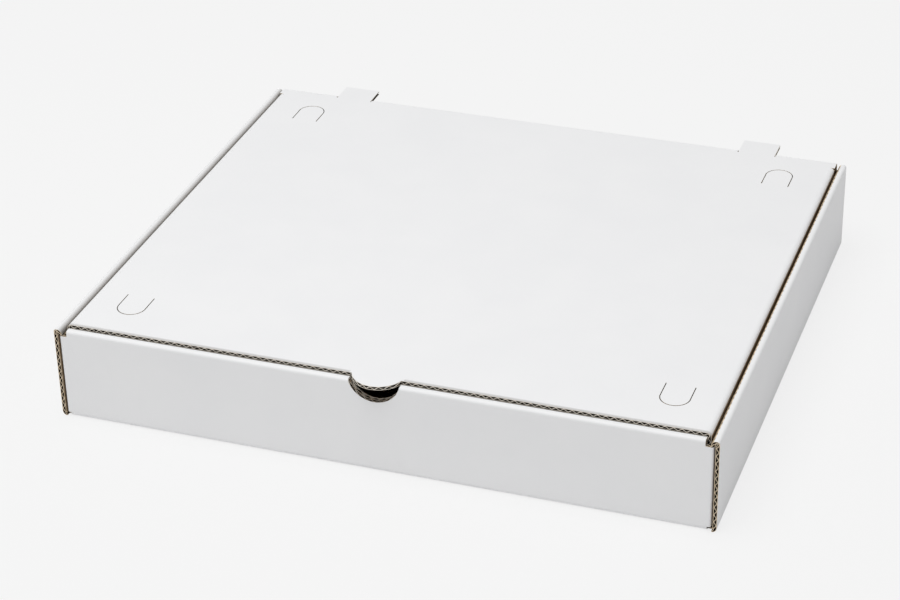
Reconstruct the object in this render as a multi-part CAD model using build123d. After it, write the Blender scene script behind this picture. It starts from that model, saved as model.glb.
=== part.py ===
from build123d import *
import math
import os

# Folded pizza box of white-faced fluted board, lid closed.
# Millimetres. X runs to the right, Y to the back, Z up.
# The origin is the middle of the underside of the tray.

# Board
sheet_thickness = 1.6
liner_thickness = 0.25
wave_thickness = 0.24
flute_pitch = 3.3
flute_flat = 0.5
fold_inner_radius = 0.4
layer_gap = 0.2
panel_clearance = 0.4
cut_width = 0.4
overcut = 1.0

# Tray
box_width = 275.0
box_depth = 234.0
wall_height = 41.0
front_roll_end_gap = 5.6
roll_corner_radius = 1.2
roll_hook_height = 2.5
corner_fold_radius = 1.0
ear_length = 38.0
notch_radius = 10.9
notch_depth = 8.6
flute_mouth_depth = 6.0
lock_width = 30.0
side_lock_spacing = 110.0
front_lock_spacing = 140.0

# Lid
lid_rise = 0.8
lid_side_gap = 0.8
lid_front_gap = 0.4
crease_width = 1.5
tongue_overhang = 3.4
flap_back_gap = 6.0
flap_front_slant = 9.0
flap_back_slant = 10.0
flap_shoulder = 4.0

# Two tabs that stand out behind the lid, cut out of the back wall
rear_tab_width = 16.5
rear_tab_length = 9.5
rear_tab_side_distance = 40.5

# Four U-shaped cuts in the lid, each round a tab that can be pushed down
support_tab_width = 11.4
support_tab_length = 14.7
front_tab_side_distance = 23.5
back_tab_side_distance = 26.1
front_tab_edge_distance = 18.3
back_tab_edge_distance = 14.7

# Sizes that follow from the ones above
half_width = box_width / 2
half_depth = box_depth / 2
fold_radius = sheet_thickness + fold_inner_radius
double_wall = 2 * sheet_thickness + layer_gap
roll_foot = wall_height - sheet_thickness
lid_top = wall_height + lid_rise
lid_underside = lid_top - sheet_thickness
lid_half_width = half_width - double_wall - lid_side_gap
lid_front = -half_depth + double_wall + lid_front_gap
tongue_tip = -half_depth - tongue_overhang
crease_start = half_depth - sheet_thickness
rear_tab_end = half_depth + rear_tab_length
rear_tab_x = half_width - rear_tab_side_distance
lip_bottom = wall_height - roll_hook_height
ear_top = lip_bottom - panel_clearance
ear_outer_face = half_width - sheet_thickness - layer_gap
ear_fold_x = ear_outer_face - sheet_thickness
front_roll_half = half_width - front_roll_end_gap
inner_panel_bottom = sheet_thickness + layer_gap
flap_bottom = sheet_thickness + panel_clearance
flap_back = half_depth - flap_back_gap


def block(x_low, x_high, y_low, y_high, z_low, z_high):
    """Box between two corners."""
    size = Box(x_high - x_low, y_high - y_low, z_high - z_low)
    return Pos((x_low + x_high) / 2, (y_low + y_high) / 2, (z_low + z_high) / 2) * size


def prism_along_y(outline, y_low, y_high, hollows=()):
    """Solid with one XZ outline, and hollows, from y_low to y_high."""
    face = Face(outline, list(hollows))
    return Pos(0, y_low, 0) * Solid.extrude(face, Vector(0, y_high - y_low, 0))


def closed_wire(points):
    """Closed wire through XZ points, in the plane Y = 0."""
    corners = [Vector(x, 0, z) for x, z in points]
    return Wire.make_polygon(corners, close=True)


def flute_wires(width):
    """Hollows above and below the wave, in a board that lies flat and is centred on X = 0."""
    wide = (flute_pitch - flute_flat) / 2
    floor = liner_thickness
    roof = sheet_thickness - liner_thickness
    count = int((width - flute_pitch) / flute_pitch)
    wires = []
    for index in range(count):
        x = (index - (count - 1) / 2) * flute_pitch - flute_pitch / 4
        trough = x + flute_pitch / 2
        over = [(x - wide, roof), (x, floor + wave_thickness), (x + wide, roof)]
        under = [(trough - wide, floor), (trough, roof - wave_thickness), (trough + wide, floor)]
        wires.append(closed_wire(over))
        wires.append(closed_wire(under))
    return wires


def fluted_board(width, y_low, y_high):
    """Flat board from Z = 0 up, with its flutes along Y and open at both ends."""
    edge = [(-width / 2, 0), (width / 2, 0), (width / 2, sheet_thickness), (-width / 2, sheet_thickness)]
    return prism_along_y(closed_wire(edge), y_low, y_high, flute_wires(width))


def fold_along_y(x, z, start_angle, sweep, y_low, y_high, outer, inner):
    """Bent stretch of board round an axis along Y. Angles go from +X towards +Z."""
    def at(radius, angle):
        turn = math.radians(angle)
        return Vector(x + radius * math.cos(turn), 0, z + radius * math.sin(turn))

    middle = start_angle + sweep / 2
    stop = start_angle + sweep
    outline = Wire([
        Edge.make_three_point_arc(at(outer, start_angle), at(outer, middle), at(outer, stop)),
        Edge.make_line(at(outer, stop), at(inner, stop)),
        Edge.make_three_point_arc(at(inner, stop), at(inner, middle), at(inner, start_angle)),
        Edge.make_line(at(inner, start_angle), at(outer, start_angle)),
    ])
    return prism_along_y(outline, y_low, y_high)


def mirrored(shape):
    """The same shape on the left side."""
    return mirror(shape, about=Plane.YZ)


def tray_base():
    """Bottom panel with its four rounded edges and the slots for the locking tongues."""
    panel = block(-(half_width - fold_radius), half_width - fold_radius,
                  -(half_depth - fold_radius), half_depth - fold_radius, 0, sheet_thickness)
    side_fold = base_fold(half_depth, half_width)
    back_fold = Rot(0, 0, 90) * base_fold(ear_fold_x, half_depth)
    front_fold = Rot(0, 0, -90) * base_fold(ear_fold_x, half_depth)
    slots = side_lock_slots()
    slots += [mirrored(slot) for slot in slots] + front_lock_slots()
    return panel + [side_fold, mirrored(side_fold), back_fold, front_fold] - slots


def base_fold(half_length, distance):
    """Rounded bottom edge along the right side of a base, to be turned to its own side."""
    return fold_along_y(distance - fold_radius, fold_radius, -90, 90, -half_length, half_length,
                        fold_radius, fold_inner_radius)


def rolled_top(half_length, distance):
    """Flat-topped roll over a doubled wall along the right side, to be turned to its own side."""
    roll = block(distance - double_wall, distance, -half_length, half_length, roll_foot, wall_height)
    long_top_edges = roll.edges().filter_by(Axis.Y).group_by(Axis.Z)[-1]
    return fillet(long_top_edges, roll_corner_radius)


def lock_places(spacing):
    """Start and end of the two tongues that lock an inner panel into the base."""
    middles = (-spacing / 2, spacing / 2)
    return [(middle - lock_width / 2, middle + lock_width / 2) for middle in middles]


def side_wall():
    """Right side wall: outer panel, rolled top and inner panel that locks into the base."""
    inner_face = half_width - double_wall
    outer_height = roll_foot - fold_radius
    outer_panel = fluted_board(outer_height, -half_depth, half_depth)
    outer_panel = Pos(half_width, 0, fold_radius + outer_height / 2) * Rot(0, -90, 0) * outer_panel
    lip = block(inner_face, inner_face + sheet_thickness, -half_depth, half_depth,
                lip_bottom, roll_foot)
    panel_end = half_depth - ear_length - panel_clearance
    inner_panel = block(inner_face, inner_face + sheet_thickness, -panel_end, panel_end,
                        inner_panel_bottom, lip_bottom)
    tongues = [block(inner_face, inner_face + sheet_thickness, start, end, 0, inner_panel_bottom)
               for start, end in lock_places(side_lock_spacing)]
    return outer_panel + [rolled_top(half_depth, half_width), lip, inner_panel] + tongues


def side_lock_slots():
    """Slots in the base for the tongues of the right inner panel."""
    inner_face = half_width - double_wall
    return [block(inner_face - layer_gap, inner_face + sheet_thickness + layer_gap,
                  start - panel_clearance, end + panel_clearance, -overcut, sheet_thickness + overcut)
            for start, end in lock_places(side_lock_spacing)]


def front_wall():
    """Front wall: outer panel, rolled top and inner panel, without the thumb notch."""
    y = -half_depth
    roll = Rot(0, 0, -90) * rolled_top(front_roll_half, half_depth)
    outer_low = block(-ear_fold_x, ear_fold_x, y, y + sheet_thickness, fold_radius, ear_top)
    outer_high = block(-front_roll_half, front_roll_half, y, y + sheet_thickness, ear_top, roll_foot)
    inner_y = y + sheet_thickness + layer_gap
    inner_panel = block(-front_roll_half, front_roll_half, inner_y, inner_y + sheet_thickness,
                        inner_panel_bottom, roll_foot)
    tongues = [block(start, end, inner_y, inner_y + sheet_thickness, 0, inner_panel_bottom)
               for start, end in lock_places(front_lock_spacing)]
    return outer_low + [outer_high, roll, inner_panel] + tongues


def front_lock_slots():
    """Slots in the base for the tongues of the front inner panel."""
    inner_y = -half_depth + sheet_thickness + layer_gap
    return [block(start - panel_clearance, end + panel_clearance, inner_y - layer_gap,
                  inner_y + sheet_thickness + layer_gap, -overcut, sheet_thickness + overcut)
            for start, end in lock_places(front_lock_spacing)]


def thumb_notch():
    """Round cut through both layers of the front wall, with the flutes that it opens."""
    centre_z = wall_height - notch_depth + notch_radius
    cut = Cylinder(notch_radius, 2 * double_wall)
    cut = Pos(0, -half_depth + double_wall / 2, centre_z) * Rot(90, 0, 0) * cut
    bottom = wall_height - notch_depth - flute_mouth_depth
    opened_width = 2 * math.sqrt(notch_radius**2 - (centre_z - roll_foot) ** 2)
    bores = upright_bores(0, -half_depth, bottom, roll_foot, opened_width)
    bores += upright_bores(0, -half_depth + sheet_thickness + layer_gap, bottom, roll_foot, opened_width)
    return [cut] + bores


def upright_bores(x, y, z_low, z_high, width):
    """Flute hollows that run up inside a wall whose front face is at y."""
    stand = Pos(x, y + sheet_thickness, z_low) * Rot(90, 0, 0)
    return [stand * prism_along_y(wire, 0, z_high - z_low) for wire in flute_wires(width)]


def back_wall():
    """Back wall: one layer, up to the crease that carries the lid."""
    low = block(-ear_fold_x, ear_fold_x, crease_start, half_depth, fold_radius, ear_top)
    high = block(-lid_half_width, lid_half_width, crease_start, half_depth, ear_top, lid_underside)
    crease = crease_wedge(0, -lid_half_width, lid_half_width)
    return low + [high, crease]


def rear_vents():
    """Openings that the rear tabs leave in the back wall, with the flutes that they open."""
    width = rear_tab_width + 2 * cut_width
    bottom = lid_top - rear_tab_length - cut_width
    cuts = []
    for x in (-rear_tab_x, rear_tab_x):
        cuts.append(block(x - width / 2, x + width / 2, crease_start - overcut, half_depth + overcut,
                          bottom, lid_top + overcut))
        cuts += upright_bores(x, crease_start, bottom - flute_mouth_depth, bottom + overcut, width)
    return cuts


def corner_ear():
    """Right end of the front wall, folded back and glued inside the side wall."""
    fold = block(ear_fold_x, ear_outer_face, -half_depth, -half_depth + sheet_thickness,
                 fold_radius, ear_top)
    upright_edges = fold.edges().filter_by(Axis.Z)
    outer_edge = upright_edges.group_by(Axis.Y)[0].sort_by(Axis.X)[-1]
    ear = block(ear_fold_x, ear_outer_face, -half_depth + sheet_thickness, -half_depth + ear_length,
                fold_radius, ear_top)
    return fillet(outer_edge, corner_fold_radius) + ear


def crease_wedge(start_angle, x_low, x_high):
    """Half of the rounded corner between back wall and lid. Angles go from the back upwards."""
    def at(angle):
        turn = math.radians(angle)
        return Vector(sheet_thickness * math.cos(turn), 0, sheet_thickness * math.sin(turn))

    corner = Vector(0, 0, 0)
    outline = Wire([
        Edge.make_line(corner, at(start_angle)),
        Edge.make_three_point_arc(at(start_angle), at(start_angle + 22.5), at(start_angle + 45)),
        Edge.make_line(at(start_angle + 45), corner),
    ])
    return Pos(0, crease_start, lid_underside) * Rot(0, 0, 90) * prism_along_y(outline, x_low, x_high)


def tray():
    """Base and four walls, folded from one sheet."""
    right_wall = side_wall()
    front_ear = corner_ear()
    back_ear = mirror(front_ear, about=Plane.XZ)
    shape = tray_base() + right_wall + [mirrored(right_wall), front_wall(), back_wall()]
    shape += [front_ear, back_ear, mirrored(front_ear), mirrored(back_ear)]
    return shape - thumb_notch() - rear_vents()


def lid_plate():
    """Flat panel of the lid with its tongue and rear tabs, before the support tabs are cut."""
    plate_half = lid_half_width - fold_radius
    plate = Pos(0, 0, lid_underside) * fluted_board(2 * plate_half, tongue_tip, rear_tab_end)
    z_low = lid_underside - overcut
    z_high = lid_top + overcut
    ahead = block(-box_width, box_width, tongue_tip - overcut, lid_front, z_low, z_high)
    ahead -= Pos(0, tongue_tip + notch_radius, lid_top) * Cylinder(notch_radius, 3 * sheet_thickness)
    behind = block(-box_width, box_width, crease_start, rear_tab_end + overcut, z_low, z_high)
    for x in (-rear_tab_x, rear_tab_x):
        behind -= block(x - rear_tab_width / 2, x + rear_tab_width / 2,
                        crease_start - overcut, rear_tab_end + 2 * overcut, z_low, z_high)
    return plate - [ahead, behind]


def crease_segments():
    """Stretches of the crease between the rear tabs, from left to right."""
    inner = rear_tab_x - rear_tab_width / 2 - cut_width
    outer = rear_tab_x + rear_tab_width / 2 + cut_width
    return [(-lid_half_width, -outer), (-inner, inner), (outer, lid_half_width)]


def lid_flap():
    """Right side flap, which hangs inside the side wall, and the fold that carries it."""
    fold = fold_along_y(lid_half_width - fold_radius, lid_top - fold_radius, 0, 90,
                        lid_front, flap_back, fold_radius, fold_inner_radius)
    top = lid_top - fold_radius
    board = fluted_board(top - flap_bottom, lid_front, flap_back)
    flap = Pos(lid_half_width, 0, (top + flap_bottom) / 2) * Rot(0, -90, 0) * board
    shoulder = top - flap_shoulder
    below = flap_bottom - overcut
    front_corner = [(lid_front - overcut, shoulder), (lid_front, shoulder),
                    (lid_front + flap_front_slant, flap_bottom),
                    (lid_front + flap_front_slant, below), (lid_front - overcut, below)]
    back_corner = [(flap_back + overcut, shoulder), (flap_back, shoulder),
                   (flap_back - flap_back_slant, flap_bottom),
                   (flap_back - flap_back_slant, below), (flap_back + overcut, below)]
    for corner in (front_corner, back_corner):
        wedge = prism_along_y(closed_wire(corner), -lid_half_width - overcut,
                              -lid_half_width + sheet_thickness + overcut)
        flap -= Rot(0, 0, 90) * wedge
    return fold + flap


def support_tab_prism(x, fold_y, side, margin):
    """Upright prism over one support tab. side is -1 where its round end points to the front."""
    half = support_tab_width / 2 + margin
    round_y = fold_y + side * (support_tab_length - support_tab_width / 2)
    z_low = lid_underside - overcut
    z_high = lid_top + overcut
    straight = block(x - half, x + half, min(fold_y, round_y), max(fold_y, round_y), z_low, z_high)
    end = Pos(x, round_y, (z_low + z_high) / 2) * Cylinder(half, z_high - z_low)
    return straight + end


def support_tab_places():
    """Name, X, Y of the fold line and direction of each support tab."""
    front_x = half_width - front_tab_side_distance
    back_x = half_width - back_tab_side_distance
    front_y = -half_depth + front_tab_edge_distance + support_tab_length
    back_y = half_depth - back_tab_edge_distance - support_tab_length
    return [("support_tab_front_left", -front_x, front_y, -1),
            ("support_tab_front_right", front_x, front_y, -1),
            ("support_tab_back_left", -back_x, back_y, 1),
            ("support_tab_back_right", back_x, back_y, 1)]


def lid(plate):
    """Lid panel with its side flaps and its half of the crease."""
    flap = lid_flap()
    edge = block(lid_half_width - fold_radius, lid_half_width, flap_back, crease_start,
                 lid_underside, lid_top)
    shape = plate + [flap, mirrored(flap), edge, mirrored(edge)]
    for x_low, x_high in crease_segments():
        shape += block(x_low, x_high, crease_start - crease_width, crease_start,
                       lid_underside, lid_top)
        shape += crease_wedge(45, x_low, x_high)
    for name, x, fold_y, side in support_tab_places():
        shape -= support_tab_prism(x, fold_y, side, cut_width)
    return shape


os.makedirs("parts", exist_ok=True)
plate = lid_plate()
export_step(tray(), "parts/tray.step")
export_step(lid(plate), "parts/lid.step")
for name, x, fold_y, side in support_tab_places():
    export_step(plate & support_tab_prism(x, fold_y, side, 0), "parts/" + name + ".step")
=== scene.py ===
import math

import bmesh
import bpy
from mathutils import Matrix, Vector, noise
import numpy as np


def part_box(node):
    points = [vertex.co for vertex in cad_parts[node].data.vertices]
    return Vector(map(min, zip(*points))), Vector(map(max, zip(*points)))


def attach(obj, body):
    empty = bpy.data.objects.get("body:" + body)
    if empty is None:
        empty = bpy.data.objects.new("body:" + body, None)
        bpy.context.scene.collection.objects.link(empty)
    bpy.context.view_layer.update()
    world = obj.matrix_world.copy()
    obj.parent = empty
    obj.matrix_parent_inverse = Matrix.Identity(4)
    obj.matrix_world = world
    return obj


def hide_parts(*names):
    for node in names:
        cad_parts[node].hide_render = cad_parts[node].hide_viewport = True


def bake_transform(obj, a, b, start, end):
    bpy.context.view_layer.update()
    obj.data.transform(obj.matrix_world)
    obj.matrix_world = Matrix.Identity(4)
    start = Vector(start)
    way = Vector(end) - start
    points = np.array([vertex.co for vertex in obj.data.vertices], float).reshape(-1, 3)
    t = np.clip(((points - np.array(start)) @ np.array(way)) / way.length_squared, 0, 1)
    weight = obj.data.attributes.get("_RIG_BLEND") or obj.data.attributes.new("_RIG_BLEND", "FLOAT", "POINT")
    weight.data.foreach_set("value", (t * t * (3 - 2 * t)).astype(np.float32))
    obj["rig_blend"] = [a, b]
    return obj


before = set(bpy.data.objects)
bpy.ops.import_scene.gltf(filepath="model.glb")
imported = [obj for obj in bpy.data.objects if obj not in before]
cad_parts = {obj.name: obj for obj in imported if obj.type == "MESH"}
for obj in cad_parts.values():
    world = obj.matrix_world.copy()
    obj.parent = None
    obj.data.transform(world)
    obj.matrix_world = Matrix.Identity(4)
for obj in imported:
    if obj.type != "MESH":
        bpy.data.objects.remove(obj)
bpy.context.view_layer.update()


# Base and side walls
# The middle of one die-cut sheet of white-faced fluted board: the bottom, the side walls, and the
# roll over each that brings the sheet back down inside, where two tongues lock it into the base.
right, back, up = Vector((1, 0, 0)), Vector((0, 1, 0)), Vector((0, 0, 1))
board_thickness = 0.0016
face_paper = 0.00018
fluting_paper = 0.00026
flute_pitch = 0.0033
flute_sharpness = 0.93
flute_drift = 0.12
drift_rate_across = 90
drift_rate_along = 25
steps_per_flute = 10
fold_steps = 6
fold_inner_radius = 0.0004
press_reach = 0.0016
press_steps = 4
press_gap = 0.0001
layer_gap = 0.0002
panel_clearance = 0.0004
sharp_edge_degrees = 35
# Far less than any paper's thickness, for limits that have to clear an edge.
hair = 1e-6
wall_height = 0.041
half_width, half_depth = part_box("tray")[1].xy
reach = half_width + board_thickness
under_base, over_base = -board_thickness, 2 * board_thickness
fold_radius = board_thickness + fold_inner_radius
fold_middle_radius = fold_radius - board_thickness / 2
double_wall = 2 * board_thickness + layer_gap
roll_outer_radius = 0.0012
roll_inner_radius = 0.0020
roll_outer_middle = roll_outer_radius - board_thickness / 2
roll_inner_middle = roll_inner_radius - board_thickness / 2
roll_flat = double_wall - roll_outer_radius - roll_inner_radius
roll_hook_height = 0.0025
lip_bottom = wall_height - roll_hook_height
inner_panel_bottom = board_thickness + layer_gap
ear_length = 0.038
inner_panel_end = half_depth - ear_length - panel_clearance
lock_width = 0.030
side_lock_spacing = 0.110
front_lock_spacing = 0.140
white_index, kraft_index, painted_flute_shade_index, edge_index = range(4)


def uneven(x, y):
    """Smooth noise between -1 and 1."""
    return noise.noise(Vector((x, y, 0.0)))


def flat_shares(length, count, spacing):
    """Shares of a flat stretch at which its line has points, closer together near the folds."""
    count = max(count, math.ceil(length / spacing))
    shares = {index / count for index in range(1, count + 1)}
    if length > 3 * press_reach and spacing > press_reach:
        for step in range(1, press_steps + 1):
            beside_fold = step / press_steps * press_reach / length
            shares |= {beside_fold, 1 - beside_fold}
    return sorted(shares)


def fold_line(start, heading, axis, steps, spacing, crush):
    """Places along the middle of a folded board, each with the side of its white face, its run from
    the middle of the sheet, and how far a tight fold presses the inner paper outwards, crush at the
    least. A step is a flat length, 0 and a count of points, or a radius, its turn in degrees and a
    count of points."""
    place, ahead, run = Vector(start), Vector(heading), 0.0
    line, folds = [(place, axis.cross(ahead), run)], []
    for length, angle, count in steps:
        side = axis.cross(ahead)
        if angle == 0:
            for share in flat_shares(length, count, spacing):
                line.append((place + ahead * length * share, side, run + length * share))
            place = place + ahead * length
            run += length
            continue
        arc = length * math.radians(angle)
        folds.append((run, run + arc, max(crush, board_thickness / 2 + press_gap - length)))
        centre = place - side * length
        for index in range(1, count + 1):
            turn = Matrix.Rotation(-math.radians(angle) * index / count, 3, axis)
            line.append((centre + turn @ (side * length), turn @ side, run + arc * index / count))
        place, ahead = centre + turn @ (side * length), turn @ ahead
        run += arc

    def press(at):
        most = 0.0
        for begin, end, depth in folds:
            away = min(1.0, max(begin - at, at - end, 0.0) / press_reach)
            most = max(most, depth * math.cos(away * math.pi / 2) ** 2)
        return most

    return [(place, side, at - run / 2, press(at)) for place, side, at in line]


def sheet_length(steps):
    """Length of a folded sheet along its middle."""
    return sum(length * math.radians(angle) if angle else length for length, angle, count in steps)


def sheet_of_paper(line, axis, stations, depth, flutes_follow_axis, painted_shade):
    """Paper drawn out along axis from a folded line. depth(across_flutes, along_flutes, press) is its
    distance from the middle of the board towards the white face; the last function, of run and station,
    gives its painted grey shade."""
    bm = bmesh.new()
    number = bm.verts.layers.int.new("number")

    def stand(vert, station):
        place, side, run, press = line[vert[number]]
        across, along = (run, station) if flutes_follow_axis else (station, run)
        vert.co = place + axis * station + side * depth(across, along, press)

    vert = bm.verts.new((0, 0, 0))
    stand(vert, stations[0])
    for index in range(1, len(line)):
        vert = bmesh.ops.extrude_vert_indiv(bm, verts=[vert])["verts"][0]
        vert[number] = index
        stand(vert, stations[0])
    edges = bm.edges[:]
    for station in stations[1:]:
        drawn = bmesh.ops.extrude_edge_only(bm, edges=edges)["geom"]
        edges = [part for part in drawn if isinstance(part, bmesh.types.BMEdge)]
        for part in drawn:
            if isinstance(part, bmesh.types.BMVert):
                stand(part, station)
    flutes = bm.loops.layers.uv.new("flutes")
    run_of = bm.verts.layers.float.new("run")
    painted_shade_of = bm.verts.layers.float.new("painted_shade")
    for vert in bm.verts:
        run = line[vert[number]][2]
        vert[run_of] = run
        if painted_shade:
            vert[painted_shade_of] = painted_shade(run, vert.co.dot(axis))
    for face in bm.faces:
        for loop in face.loops:
            run = line[loop.vert[number]][2]
            station = loop.vert.co.dot(axis)
            loop[flutes].uv = (run, station) if flutes_follow_axis else (station, run)
    bm.normal_update()
    bm.faces.ensure_lookup_table()
    first = bm.faces[0]
    if first.normal.dot(line[first.verts[0][number]][1]) < 0:
        bmesh.ops.reverse_faces(bm, faces=bm.faces[:])
    return bm


def die_cut(bm, low, high, sides=(), runs=None, keep=False):
    """Cuts the paper between two corners, inside the planes in sides, each a point and its outward
    normal, and takes away what is inside them, or with keep what is outside them. With runs, only
    that stretch of the sheet is cut."""
    run_of = bm.verts.layers.float["run"]
    low, high = Vector(low), Vector(high)
    planes = list(sides)
    for axis in range(3):
        for corner, way in ((low, -1), (high, 1)):
            normal = Vector((0, 0, 0))
            normal[axis] = way
            planes.append((corner, normal))

    def touched(face):
        if runs and not all(runs[0] <= vert[run_of] <= runs[1] for vert in face.verts):
            return False
        for axis in range(3):
            places = [vert.co[axis] for vert in face.verts]
            if max(places) < low[axis] or min(places) > high[axis]:
                return False
        return True

    def inside(face):
        middle = face.calc_center_median()
        return all((middle - point).dot(normal) < 0 for point, normal in planes)

    for point, normal in planes:
        faces = [face for face in bm.faces if touched(face)]
        edges = list(dict.fromkeys(edge for face in faces for edge in face.edges))
        verts = list(dict.fromkeys(vert for face in faces for vert in face.verts))
        bmesh.ops.bisect_plane(bm, geom=faces + edges + verts, dist=hair / 10, plane_co=point,
                               plane_no=normal)
    if keep:
        gone = [face for face in bm.faces if not inside(face)]
    else:
        gone = [face for face in bm.faces if touched(face) and inside(face)]
    bmesh.ops.delete(bm, geom=gone, context="FACES")


def middle_run(bm, face):
    """How far along the sheet the middle of a face lies."""
    run_of = bm.verts.layers.float["run"]
    return sum(vert[run_of] for vert in face.verts) / len(face.verts)


def flute_wave(across, along):
    """Wave of the middle paper between -1 and 1, a little uneven."""
    drift = flute_drift * uneven(across * drift_rate_across, along * drift_rate_along)
    wave = math.cos(2 * math.pi * (across / flute_pitch + drift))
    return math.asin(flute_sharpness * wave) / math.asin(flute_sharpness)


def finish_outer_paper(paper, coat, raw):
    """White where the run is within coat, bare brown beyond it, and raw fibre within raw."""
    for face in paper.faces:
        run = middle_run(paper, face)
        face.material_index = white_index if coat[0] < run < coat[1] else kraft_index
        if raw[0] < run < raw[1]:
            face.material_index = edge_index


def folded_board(name, start, heading, axis, steps, stations, flutes_follow_axis, cut=None, tear=None,
                 coat=(-math.inf, math.inf), raw=(math.inf, math.inf), dent=None, painted_shade=None,
                 face_stations=None, crush=0.0, materials=None):
    """Three papers of fluted board, folded, cut and thickened, as one mesh at the origin. All three
    are cut. The outer one alone is torn, coated white, dented and darkened with painted grey shade."""
    materials = materials or board_materials
    flute_step = flute_pitch / steps_per_flute
    middle_of_face = (board_thickness - face_paper) / 2

    def outer(across, along, press):
        return middle_of_face - (dent(across, along) if dent else 0.0)

    def inner(across, along, press):
        return press - middle_of_face

    def fluting_between(across, along, press):
        high, low = outer(across, along, press), inner(across, along, press)
        height = max(0.0, (high - low - face_paper - fluting_paper) / 2)
        return (high + low) / 2 + height * flute_wave(across, along)

    joined = bmesh.new()
    for depth, thickness, finish, back_finish in (
            (outer, face_paper, white_index, painted_flute_shade_index),
            (fluting_between, fluting_paper, painted_flute_shade_index, painted_flute_shade_index),
            (inner, face_paper, painted_flute_shade_index, kraft_index)):
        spacing, places = math.inf, stations
        if depth is outer and face_stations:
            places = face_stations
        if depth is fluting_between and flutes_follow_axis:
            spacing = flute_step
        if depth is fluting_between and not flutes_follow_axis:
            width = stations[-1] - stations[0]
            count = math.ceil(width / flute_step)
            places = [stations[0] + width * index / count for index in range(count + 1)]
        line = fold_line(start, heading, axis, steps, spacing, crush)
        paper = sheet_of_paper(line, axis, places, depth, flutes_follow_axis, painted_shade)
        if depth is outer and tear:
            tear(paper)
        if cut:
            cut(paper)
        for face in paper.faces:
            face.material_index = finish
        if depth is outer:
            finish_outer_paper(paper, coat, raw)
        mesh = bpy.data.meshes.new(name)
        paper.to_mesh(mesh)
        paper.free()
        thick = thicken(mesh, thickness, back_finish - finish, materials)
        joined.from_mesh(thick)
        bpy.data.meshes.remove(thick)
    return finished_piece(name, joined, materials)


def thicken(mesh, thickness, back_offset, materials):
    """The same paper with its real thickness, the finish of its back and its raw cut edges."""
    for material in materials:
        mesh.materials.append(material)
    piece = bpy.data.objects.new(mesh.name, mesh)
    bpy.context.scene.collection.objects.link(piece)
    solid = piece.modifiers.new("thickness", "SOLIDIFY")
    solid.thickness = thickness
    solid.offset = 0
    solid.use_even_offset = True
    solid.material_offset = back_offset
    solid.material_offset_rim = edge_index
    bpy.context.view_layer.update()
    thick = bpy.data.meshes.new_from_object(piece.evaluated_get(bpy.context.evaluated_depsgraph_get()))
    bpy.data.objects.remove(piece)
    bpy.data.meshes.remove(mesh)
    return thick


def finished_piece(name, bm, materials):
    """Object made from a mesh in place, smooth across its folds and sharp at its cut edges."""
    mesh = bpy.data.meshes.new(name)
    bm.to_mesh(mesh)
    bm.free()
    for material in materials:
        mesh.materials.append(material)
    mesh.shade_smooth()
    mesh.set_sharp_from_angle(angle=math.radians(sharp_edge_degrees))
    piece = bpy.data.objects.new(name, mesh)
    bpy.context.scene.collection.objects.link(piece)
    return piece


def new_material(name):
    """Material with its nodes, links and main shader."""
    material = bpy.data.materials.new(name)
    material.use_nodes = True
    nodes, links = material.node_tree.nodes, material.node_tree.links
    return material, nodes, links, nodes["Principled BSDF"]


def noise_node(nodes, links, coordinates, scale, detail):
    """Noise texture at a scale in features per metre."""
    texture = nodes.new("ShaderNodeTexNoise")
    texture.inputs["Scale"].default_value = scale
    texture.inputs["Detail"].default_value = detail
    links.new(coordinates, texture.inputs["Vector"])
    return texture.outputs["Fac"]


def ramp_node(nodes, links, value, stops):
    """Colours between two or more stops, each a position and a colour."""
    ramp = nodes.new("ShaderNodeValToRGB")
    while len(ramp.color_ramp.elements) < len(stops):
        ramp.color_ramp.elements.new(0.5)
    for element, (position, colour) in zip(ramp.color_ramp.elements, stops):
        element.position = position
        element.color = (*colour, 1)
    links.new(value, ramp.inputs["Fac"])
    return ramp.outputs["Color"]


def mix_node(nodes, mode):
    """Mix of two colours, as its sockets: the factor, the two colours and the result."""
    mix = nodes.new("ShaderNodeMix")
    mix.data_type = "RGBA"
    mix.blend_type = mode
    first, second = [socket for socket in mix.inputs if socket.type == "RGBA"]
    result = [socket for socket in mix.outputs if socket.type == "RGBA"][0]
    return mix.inputs["Factor"], first, second, result


def bump_node(nodes, links, height, distance, strength, before=None):
    """Bump from a height, on top of an earlier bump if there is one."""
    bump = nodes.new("ShaderNodeBump")
    bump.inputs["Distance"].default_value = distance
    bump.inputs["Strength"].default_value = strength
    links.new(height, bump.inputs["Height"])
    if before:
        links.new(before, bump.inputs["Normal"])
    return bump.outputs["Normal"]


def flute_lines(nodes, links):
    """The papers' own coordinates, and soft ridges that the flutes print through, one for each."""
    wave_texture_rate = 20
    place = nodes.new("ShaderNodeUVMap")
    place.uv_map = "flutes"
    ridges = nodes.new("ShaderNodeTexWave")
    ridges.inputs["Scale"].default_value = 2 * math.pi / (wave_texture_rate * flute_pitch)
    ridges.inputs["Distortion"].default_value = 0
    links.new(place.outputs["UV"], ridges.inputs["Vector"])
    return place.outputs["UV"], ridges.outputs["Fac"]


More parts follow.
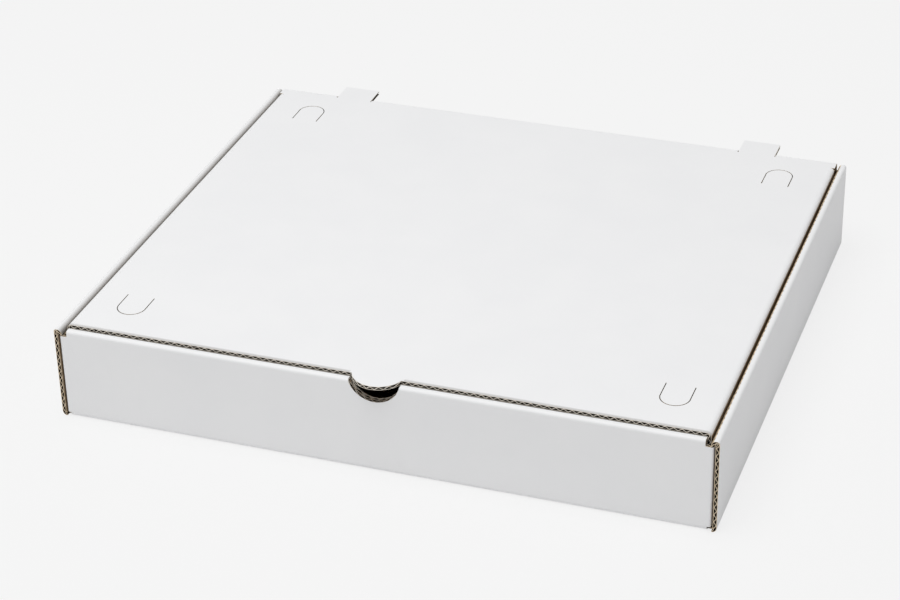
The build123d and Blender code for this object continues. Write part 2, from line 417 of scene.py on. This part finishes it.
def make_white_face():
    """Bleached, smooth paper with a faint mottle and a trace of the flutes below it, mixed towards
    a painted grey shade where the front edge of the lid and the inner fold of the left wall turn into shade."""
    dull_white, bright_white = (0.868, 0.870, 0.879), (0.886, 0.887, 0.893)
    # Painted shade: this grey is mixed into the white along the pressed front edge of the lid and inside the
    # left wall's fold, where the light falls off.
    painted_shade_grey = (0.37, 0.355, 0.335)
    material, nodes, links, shader = new_material("white_face")
    place = nodes.new("ShaderNodeTexCoord").outputs["Object"]
    mottle = noise_node(nodes, links, place, scale=38, detail=3)
    colour = ramp_node(nodes, links, mottle, [(0.3, dull_white), (0.7, bright_white)])
    shade_attribute = nodes.new("ShaderNodeAttribute")
    shade_attribute.attribute_name = "painted_shade"
    factor, clean, grey, result = mix_node(nodes, "MIX")
    grey.default_value = (*painted_shade_grey, 1)
    links.new(shade_attribute.outputs["Fac"], factor)
    links.new(colour, clean)
    links.new(result, shader.inputs["Base Color"])
    shader.inputs["Roughness"].default_value = 0.52
    shader.inputs["Specular IOR Level"].default_value = 0.35
    ridges = flute_lines(nodes, links)[1]
    printed = bump_node(nodes, links, ridges, distance=0.00002, strength=0.35)
    grain = noise_node(nodes, links, place, scale=2600, detail=2)
    finished = bump_node(nodes, links, grain, distance=0.00001, strength=0.3, before=printed)
    links.new(finished, shader.inputs["Normal"])
    return material


def make_kraft(name, dark, light, roughness):
    """Unbleached paper with long fibres along the flutes and darker specks."""
    fibre_rates = (900, 160, 900)
    speck_shade, clear = (0.55, 0.55, 0.55), (1, 1, 1)
    material, nodes, links, shader = new_material(name)
    place, ridges = flute_lines(nodes, links)
    stretch = nodes.new("ShaderNodeMapping")
    stretch.inputs["Scale"].default_value = fibre_rates
    links.new(place, stretch.inputs["Vector"])
    fibres = noise_node(nodes, links, stretch.outputs["Vector"], scale=1, detail=4)
    specks = noise_node(nodes, links, place, scale=700, detail=1)
    factor, base, spots, result = mix_node(nodes, "MULTIPLY")
    factor.default_value = 1
    links.new(ramp_node(nodes, links, fibres, [(0.3, dark), (0.7, light)]), base)
    links.new(ramp_node(nodes, links, specks, [(0.28, speck_shade), (0.36, clear)]), spots)
    links.new(result, shader.inputs["Base Color"])
    shader.inputs["Roughness"].default_value = roughness
    shader.inputs["Specular IOR Level"].default_value = 0.25
    printed = bump_node(nodes, links, ridges, distance=0.00003, strength=0.5)
    finished = bump_node(nodes, links, fibres, distance=0.00002, strength=0.5, before=printed)
    links.new(finished, shader.inputs["Normal"])
    return material


board_materials = [
    make_white_face(),
    make_kraft("kraft_face", dark=(0.235, 0.165, 0.100), light=(0.360, 0.262, 0.165), roughness=0.75),
    # Painted shade: the fluting and the flute sides of the face papers are brown kraft darkened nearly to
    # black, standing in for the shade deep inside the flutes.
    make_kraft("fluting_painted_dark", dark=(0.018, 0.010, 0.005), light=(0.042, 0.024, 0.012), roughness=0.9),
    make_kraft("cut_edge", dark=(0.700, 0.550, 0.370), light=(0.880, 0.750, 0.570), roughness=0.85),
]

outer_panel_height = wall_height - roll_outer_radius - fold_radius
tongue_foot = 0.0001
inner_panel_height = wall_height - roll_inner_radius - tongue_foot
base_half = half_width - fold_radius
roll = [(roll_outer_middle, 90, fold_steps), (roll_flat, 0, 1), (roll_inner_middle, 90, fold_steps)]
side_steps = [
    (inner_panel_height, 0, 1),
    *reversed(roll),
    (outer_panel_height, 0, 1),
    (fold_middle_radius, 90, fold_steps),
    (2 * base_half, 0, 1),
    (fold_middle_radius, 90, fold_steps),
    (outer_panel_height, 0, 1),
    *roll,
    (inner_panel_height, 0, 1),
]
inner_face = half_width - double_wall
between_layers = half_width - board_thickness - layer_gap / 2
base_end = half_depth - fold_radius
base_runs = (-base_half - hair, base_half + hair)
inner_bend = roll_inner_middle * math.pi / 2
side_run = sheet_length(side_steps) / 2 - inner_panel_height
# On the right the white coat ends at the inner fold of the roll, beside a strip torn to the fibre.
coat_end = side_run - inner_bend * 4 / fold_steps
slit_end = side_run - inner_bend * 3 / fold_steps
left_coat_overrun = 0.0005
left_coat_end = side_run + left_coat_overrun
# Share of the inner bend of the left wall at which its painted grey shade is full.
full_shade_share = 0.7
slit_pitch = 0.0037
slit_length = 0.0014
slit_shift = 0.0004
shift_step, shift_row = 3.7, 0.3
slit_spread = 0.5
spread_step, spread_row = 5.1, 7.7


def inner_runs(way):
    """Stretch of the sheet that is the inner panel on the right for 1, on the left for -1."""
    return (side_run - hair, math.inf) if way > 0 else (-math.inf, -side_run + hair)


def slit_places():
    """Start and end of each short slit along the inner fold of the right wall."""
    count = int(2 * half_depth / slit_pitch)
    places = []
    for index in range(count):
        middle = (index - (count - 1) / 2) * slit_pitch
        middle += slit_shift * uneven(index * shift_step, shift_row)
        half = slit_length / 2 * (1 + slit_spread * uneven(index * spread_step, spread_row))
        places.append((middle - half, middle + half))
    return places


def tear_slits(paper):
    """Takes the slits out of the outer paper."""
    torn = []
    for face in paper.faces:
        middle = face.calc_center_median().y
        in_strip = coat_end < middle_run(paper, face) < slit_end
        if in_strip and any(start < middle < stop for start, stop in slits):
            torn.append(face)
    bmesh.ops.delete(paper, geom=torn, context="FACES")


def left_fold_painted_shade(run, station):
    """Painted grey shade on the white coat along the inner fold of the left wall, deepening into the gap, 0
    to 1.
    """
    return min(1.0, max(0.0, -run - side_run + inner_bend) / (inner_bend * full_shade_share))


def lock_spans(spacing):
    """Start and end of the two tongues that lock one wall into the base."""
    return [(middle - lock_width / 2, middle + lock_width / 2) for middle in (-spacing / 2, spacing / 2)]


def spans_beside(spans):
    """The stretches that the spans leave free, out to beyond the ends of the box."""
    ends = [-reach] + [end for span in spans for end in span] + [reach]
    return zip(ends[0::2], ends[1::2])


def cut_base_and_sides(paper):
    """Ends of the inner panels, tongues at their feet, and the slots in the base."""
    for way in (-1, 1):
        near, far = sorted((way * (inner_face - board_thickness), way * between_layers))
        for end in (-1, 1):
            start, stop = sorted((end * inner_panel_end, end * reach))
            die_cut(paper, (near, start, under_base), (far, stop, lip_bottom), runs=inner_runs(way))
        for start, stop in spans_beside(lock_spans(side_lock_spacing)):
            die_cut(paper, (near, start, under_base), (far, stop, inner_panel_bottom),
                    runs=inner_runs(way))
        near, far = sorted((way * (inner_face - layer_gap), way * base_half))
        for start, stop in lock_spans(side_lock_spacing):
            die_cut(paper, (near, start - panel_clearance, under_base),
                    (far, stop + panel_clearance, over_base), runs=base_runs)
    for start, stop in lock_spans(front_lock_spacing):
        die_cut(paper, (start - panel_clearance, -reach, under_base),
                (stop + panel_clearance, -half_depth + double_wall + layer_gap, over_base),
                runs=base_runs)
    for end in (-1, 1):
        start, stop = sorted((end * base_end, end * reach))
        die_cut(paper, (-base_half, start, under_base), (base_half, stop, over_base), runs=base_runs)


slits = slit_places()
slit_ends = [end for slit in slits for end in slit]
base_and_sides = folded_board(
    "base_and_side_walls", start=(-(inner_face + board_thickness / 2), 0, tongue_foot), heading=up,
    axis=back, steps=side_steps, stations=[-half_depth, half_depth], flutes_follow_axis=True,
    cut=cut_base_and_sides, tear=tear_slits, coat=(-left_coat_end, coat_end),
    raw=(coat_end, slit_end), painted_shade=left_fold_painted_shade,
    face_stations=[-half_depth] + slit_ends + [half_depth])
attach(base_and_sides, "tray")
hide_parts("tray")


# Front wall
# The front of the same sheet, turned up and rolled over like the sides, with its flutes upright.
# A round notch cut through both layers gives a thumb room to lift the lid. Two tongues lock it.
front_roll_end_gap = 0.0056
notch_radius = 0.0109
notch_depth = 0.0086
notch_bottom = wall_height - notch_depth
round_cut_steps = 28
corner_fold_radius = 0.001
front_roll_half = half_width - front_roll_end_gap
ear_top = lip_bottom - panel_clearance
corner_gap = 0.0007
ear_outer_face = half_width - board_thickness - corner_gap
ear_fold_x = ear_outer_face - board_thickness
corner_fold_x = ear_outer_face - corner_fold_radius
seam_x = corner_fold_x - press_reach
front_drop = 0.0002
front_panel_height = outer_panel_height - front_drop
front_inner_height = wall_height - roll_outer_radius - front_drop
front_steps = [
    (fold_middle_radius, 90, fold_steps),
    (front_panel_height, 0, 1),
    (roll_outer_middle, 90, fold_steps),
    (double_wall - 2 * roll_outer_radius, 0, 1),
    (roll_outer_middle, 90, fold_steps),
    (front_inner_height, 0, 1),
]
front_coat_end = sheet_length(front_steps) / 2 - front_inner_height


def round_sides(centre, radius, axis, count):
    """Planes round a circle, for a round cut."""
    start = up if axis.z == 0 else back
    sides = []
    for index in range(count):
        outward = Matrix.Rotation(2 * math.pi * index / count, 3, axis) @ start
        sides.append((centre + outward * radius, outward))
    return sides


def cut_front_wall(paper):
    """Narrower roll and inner panel, the locking tongues and the thumb notch."""
    outside = -half_depth - board_thickness
    between = -half_depth + board_thickness + layer_gap / 2
    inside = -half_depth + double_wall + board_thickness
    above = wall_height + board_thickness
    for way in (-1, 1):
        near, far = sorted((way * front_roll_half, way * reach))
        die_cut(paper, (near, outside, ear_top), (far, inside, above))
        die_cut(paper, (near, between, inner_panel_bottom - layer_gap / 2), (far, inside, ear_top))
        near, far = sorted((way * seam_x, way * reach))
        die_cut(paper, (near, outside, fold_radius), (far, inside, ear_top))
    for start, stop in spans_beside(lock_spans(front_lock_spacing)):
        die_cut(paper, (start, between, under_base), (stop, inside, inner_panel_bottom))
    centre = Vector((0, 0, notch_bottom + notch_radius))
    die_cut(paper, (-notch_radius, outside, notch_bottom - layer_gap), (notch_radius, inside, above),
            round_sides(centre, notch_radius, back, round_cut_steps))


pale_edge_materials = board_materials[:edge_index] + [
    make_kraft("pale_cut_edge", dark=(0.915, 0.825, 0.695), light=(0.980, 0.925, 0.830), roughness=0.85)]
front_wall = folded_board(
    "front_wall", start=(0, -half_depth + fold_radius, board_thickness / 2), heading=-back,
    axis=right, steps=front_steps, stations=[-ear_fold_x, -front_roll_half, -notch_radius,
                                             notch_radius, front_roll_half, ear_fold_x],
    flutes_follow_axis=False, cut=cut_front_wall, coat=(-math.inf, front_coat_end),
    materials=pale_edge_materials)
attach(front_wall, "tray")


# Corner ears
# The ends of the front and back walls, folded round the corners and glued between the two layers
# of the side walls. The brown inside of each shows in the open box.
corner_middle_radius = corner_fold_radius - board_thickness / 2
ear_half_height = (ear_top - fold_radius) / 2
ear_steps = [
    (press_reach, 0, 4),
    (corner_middle_radius, 90, fold_steps),
    (ear_length - corner_fold_radius, 0, 1),
]
for way in (-1, 1):
    for end, place in ((-1, "front"), (1, "back")):
        ear = folded_board(
            "corner_ear_" + place + ("_right" if way > 0 else "_left"),
            start=(way * seam_x, end * (half_depth - board_thickness / 2), (fold_radius + ear_top) / 2),
            heading=way * right, axis=way * end * up, steps=ear_steps,
            stations=[-ear_half_height, ear_half_height], flutes_follow_axis=True)
        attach(ear, "tray")


# Back wall
# One layer that stands at the back and carries the lid on its crease. Two openings are left in it
# where the tabs that stay on the lid are cut out.
lid_top = 0.0418
lid_half_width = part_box("lid")[1].x
lid_underside = lid_top - board_thickness
crease_start = half_depth - board_thickness
crease_length = 0.0015
crease_front = 0.111
crease_foot = lid_underside - crease_length
rear_tab_width = 0.0165
rear_tab_side_distance = 0.0405
rear_tab_length = 0.0095
rear_tab_x = half_width - rear_tab_side_distance
cut_width = 0.0004


def cut_back_wall(paper):
    """Shoulders beside the crease and the openings that the rear tabs leave."""
    inside, outside = crease_start - board_thickness, half_depth + board_thickness
    half_vent = rear_tab_width / 2 + cut_width
    vent_bottom = lid_top - rear_tab_length - cut_width
    for way in (-1, 1):
        near, far = sorted((way * lid_half_width, way * reach))
        die_cut(paper, (near, inside, ear_top), (far, outside, lid_top))
        near, far = sorted((way * seam_x, way * reach))
        die_cut(paper, (near, inside, fold_radius), (far, outside, ear_top))
        die_cut(paper, (way * rear_tab_x - half_vent, inside, vent_bottom),
                (way * rear_tab_x + half_vent, outside, lid_top))


back_wall = folded_board(
    "back_wall", start=(0, half_depth - fold_radius, board_thickness / 2), heading=back, axis=-right,
    steps=[(fold_middle_radius, 90, fold_steps), (crease_foot - fold_radius, 0, 1)],
    stations=[-ear_fold_x, ear_fold_x], flutes_follow_axis=False, cut=cut_back_wall)
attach(back_wall, "tray")


# Lid
# The top panel with its two side flaps, which hang inside the side walls. Its flutes run from front
# to back, so their ends show along the front edge. A rounded tongue stands over the thumb notch.
overcut = 0.001
tongue_overhang = 0.0034
lid_front_gap = 0.0004
flap_shoulder = 0.004
flap_front_slant = 0.009
flap_back_slant = 0.010
flap_bottom = board_thickness + panel_clearance
flap_length = lid_top - fold_radius - flap_bottom
lid_front = -half_depth + double_wall + lid_front_gap
tongue_tip = -half_depth - tongue_overhang
tongue_margin = 0.0005
beside_tongue = lid_half_width - fold_radius - notch_radius - tongue_margin
rear_tab_end = half_depth + rear_tab_length
between_tabs = rear_tab_x - rear_tab_width / 2
beyond_tabs = rear_tab_x + rear_tab_width / 2
lid_steps = [
    (flap_length, 0, 1),
    (fold_middle_radius, 90, fold_steps),
    (beside_tongue, 0, 10),
    (tongue_margin, 0, 1),
    (2 * notch_radius, 0, 1),
    (tongue_margin, 0, 1),
    (beside_tongue, 0, 10),
    (fold_middle_radius, 90, fold_steps),
    (flap_length, 0, 1),
]
lid_coat_end = lid_half_width - fold_radius + fold_middle_radius * math.pi / 2 * 5 / fold_steps
edge_dent = 0.00008
dent_reach = 0.0018
dent_steps = 5
dent_end_gap = 0.0001
# Painted grey shade along the front edge of the lid, where the pressed top paper turns down into shade; the
# same profile sets the depth of the dent.
front_press_and_shade_peak = 0.58
front_press_and_shade_rise = 1.5
front_press_and_shade_drift = 0.12
front_press_and_shade_rate = 180
dent_stations = [lid_front + dent_reach * (step / dent_steps) for step in range(dent_steps + 1)]
support_tab_names = ["support_tab_front_left", "support_tab_front_right",
                     "support_tab_back_left", "support_tab_back_right"]


def front_press_and_painted_shade(across, along):
    """How strongly the cutting rule pressed the top paper along the straight front edge, 0 to 1; it sets
    both the dent and the painted grey shade of that rounded edge.
    """
    away = max(0.0, along - lid_front) / dent_reach
    if along < lid_front - hair or away > 1 or abs(across) < notch_radius + dent_end_gap:
        return 0.0
    drift = front_press_and_shade_drift * uneven(across * front_press_and_shade_rate, 0.0)
    return front_press_and_shade_peak * min(1.0, (front_press_and_shade_rise + drift) * (1 - away))


def front_dent(across, along):
    """How far the rule pressed that paper down."""
    return edge_dent * front_press_and_painted_shade(across, along) ** 2


def tab_outline(name, margin):
    """Corners of the box round one support tab, and the planes round its rounded end."""
    low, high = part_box(name)
    half = (high.x - low.x) / 2
    front = low.y < 0
    centre = Vector(((low.x + high.x) / 2, low.y + half if front else high.y - half, lid_top))
    sides = round_sides(centre, half + margin, up, round_cut_steps)
    sides = [side for side in sides if (side[1].y <= hair if front else side[1].y >= -hair)]
    below, above = lid_underside - board_thickness, lid_top + board_thickness
    near = (low.x - margin, low.y - margin if front else low.y, below)
    far = (high.x + margin, high.y if front else high.y + margin, above)
    return near, far, sides


def cut_lid(paper):
    """Front edge with the tongue, rear tabs, holes of the support tabs and the slanted flaps."""
    below, above = lid_underside - board_thickness, lid_top + board_thickness
    centre = Vector((0, tongue_tip + notch_radius, 0))
    ahead = tongue_tip - board_thickness
    for way in (-1, 1):
        near, far = sorted((way * notch_radius, way * reach))
        die_cut(paper, (near, ahead, under_base), (far, lid_front, above))
    for point, outward in round_sides(centre, notch_radius, up, 2 * round_cut_steps):
        if outward.y < 0:
            die_cut(paper, (-notch_radius, ahead, below), (notch_radius, lid_front, above),
                    [(point, -outward)])
    for start, stop in spans_beside([(-beyond_tabs, -between_tabs), (between_tabs, beyond_tabs)]):
        die_cut(paper, (start, crease_front, under_base), (stop, rear_tab_end + overcut, above))
    for name in support_tab_names:
        die_cut(paper, *tab_outline(name, cut_width))
    shoulder = lid_top - fold_radius - flap_shoulder
    for edge, slant in ((lid_front, flap_front_slant), (crease_front, -flap_back_slant)):
        outward = Vector((0, shoulder - flap_bottom, slant)).normalized() * math.copysign(1, slant)
        start, stop = sorted((edge - math.copysign(overcut, slant), edge + slant))
        die_cut(paper, (-reach, start, 0), (reach, stop, shoulder),
                [(Vector((0, edge, shoulder)), outward)])


lid_board = folded_board(
    "lid_board", start=(lid_half_width - board_thickness / 2, 0, flap_bottom), heading=up, axis=back,
    steps=lid_steps, stations=[tongue_tip] + dent_stations + [crease_front, rear_tab_end],
    flutes_follow_axis=True, cut=cut_lid, coat=(-lid_coat_end, lid_coat_end), dent=front_dent,
    painted_shade=front_press_and_painted_shade, materials=pale_edge_materials)
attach(lid_board, "lid")
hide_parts("lid")


# Lid crease
# The pressed line along which the lid turns on the back wall, in three stretches beside the rear
# tabs. The brown inside is crushed there, so that the papers can bend with the lid.
crease_crush = 0.0008
crease_turn = 0.0007
crease_steps = [
    (crease_length, 0, 5),
    (board_thickness / 2, 90, 2 * fold_steps),
    (crease_start - crease_front, 0, 10),
]
slit_start = crease_start - overcut


def cut_crease(paper):
    """Narrow slits beside the rear tabs, up to where the tabs begin."""
    for way in (-1, 1):
        for edge, side in ((between_tabs, -1), (beyond_tabs, 1)):
            near, far = sorted((way * edge, way * (edge + side * cut_width)))
            die_cut(paper, (near, slit_start, crease_foot - board_thickness),
                    (far, half_depth + board_thickness, lid_top + board_thickness))


for name, start, stop in (("lid_crease_left", beyond_tabs, lid_half_width),
                          ("lid_crease_middle", -between_tabs, between_tabs),
                          ("lid_crease_right", -lid_half_width, -beyond_tabs)):
    crease = folded_board(
        name, start=(0, half_depth - board_thickness / 2, crease_foot), heading=up, axis=-right,
        steps=crease_steps, stations=[start, stop], flutes_follow_axis=False, cut=cut_crease,
        crush=crease_crush)
    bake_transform(crease, "lid", "tray", start=(0, crease_start - crease_turn, lid_underside + crease_turn),
             end=(0, crease_start + crease_turn, lid_underside - crease_turn))


# Support tabs
# Four tongues left in the lid inside U-shaped cuts. Each can be pushed down to hold the lid off the
# food, and bends along the line where it is not cut.
for name in support_tab_names:
    low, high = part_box(name)
    tab = folded_board(
        name + "_board", start=(high.x, 0, lid_top - board_thickness / 2), heading=-right, axis=back,
        steps=[(high.x - low.x, 0, 1)], stations=[low.y, high.y], flutes_follow_axis=True,
        cut=lambda paper: die_cut(paper, *tab_outline(name, 0), keep=True))
    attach(tab, name)
    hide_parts(name)


# Camera
# It stands in front and to the right of the box and looks down on it, as in the photograph.
camera_turn = (59.683, 1.118, 19.157)
camera = bpy.data.objects.new("camera", bpy.data.cameras.new("camera"))
camera.data.lens = 100.55
camera.data.sensor_width = 36
camera.data.clip_end = 20
camera.location = (0.3075, -0.8807, 0.5585)
camera.rotation_euler = [math.radians(angle) for angle in camera_turn]
bpy.context.scene.collection.objects.link(camera)
bpy.context.scene.camera = camera


# Floor
# A plain pale floor just under the box, far wider than the view. The camera sees mostly its own
# even pale grey, with the soft shadow of the box on it.
floor_half = 4
floor_drop = 0.0001
even_share = 0.85
floor_mesh = bmesh.new()
bmesh.ops.create_grid(floor_mesh, x_segments=1, y_segments=1, size=floor_half)
bmesh.ops.translate(floor_mesh, verts=floor_mesh.verts[:], vec=(0, 0, -floor_drop))
floor_material, nodes, links, shader = new_material("floor")
shader.inputs["Base Color"].default_value = (0.86, 0.86, 0.86, 1)
shader.inputs["Roughness"].default_value = 0.9
shader.inputs["Specular IOR Level"].default_value = 0
even_grey = nodes.new("ShaderNodeEmission")
even_grey.inputs["Color"].default_value = (0.925, 0.925, 0.925, 1)
blend = nodes.new("ShaderNodeMixShader")
seen = nodes.new("ShaderNodeLightPath")
share = nodes.new("ShaderNodeMath")
share.operation = "MULTIPLY"
share.inputs[1].default_value = even_share
links.new(seen.outputs["Is Camera Ray"], share.inputs[0])
links.new(share.outputs["Value"], blend.inputs["Fac"])
links.new(shader.outputs["BSDF"], blend.inputs[1])
links.new(even_grey.outputs["Emission"], blend.inputs[2])
links.new(blend.outputs["Shader"], nodes["Material Output"].inputs["Surface"])
floor = finished_piece("floor", floor_mesh, [floor_material])


# Light
# A pale room and one large soft lamp overhead, a little to the front left. The camera sees the
# room brighter than it lights the box.
room_light = 0.487
room_seen = 0.921
world = bpy.data.worlds.new("room")
bpy.context.scene.world = world
world.use_nodes = True
nodes, links = world.node_tree.nodes, world.node_tree.links
room = nodes["Background"]
room.inputs["Color"].default_value = (1, 1, 1, 1)
seen = nodes.new("ShaderNodeLightPath")
level = nodes.new("ShaderNodeMix")
level.inputs["A"].default_value = room_light
level.inputs["B"].default_value = room_seen
links.new(seen.outputs["Is Camera Ray"], level.inputs["Factor"])
links.new(level.outputs["Result"], room.inputs["Strength"])
lamp = bpy.data.objects.new("lamp", bpy.data.lights.new("lamp", "AREA"))
lamp.data.shape = "DISK"
lamp.data.size = 1.2
lamp.data.energy = 13.3
lamp.location = (-0.23, -0.32, 1.48)
lamp.rotation_euler = (-lamp.location).to_track_quat("-Z", "Y").to_euler()
bpy.context.scene.collection.objects.link(lamp)
bpy.context.scene.view_settings.view_transform = "Standard"
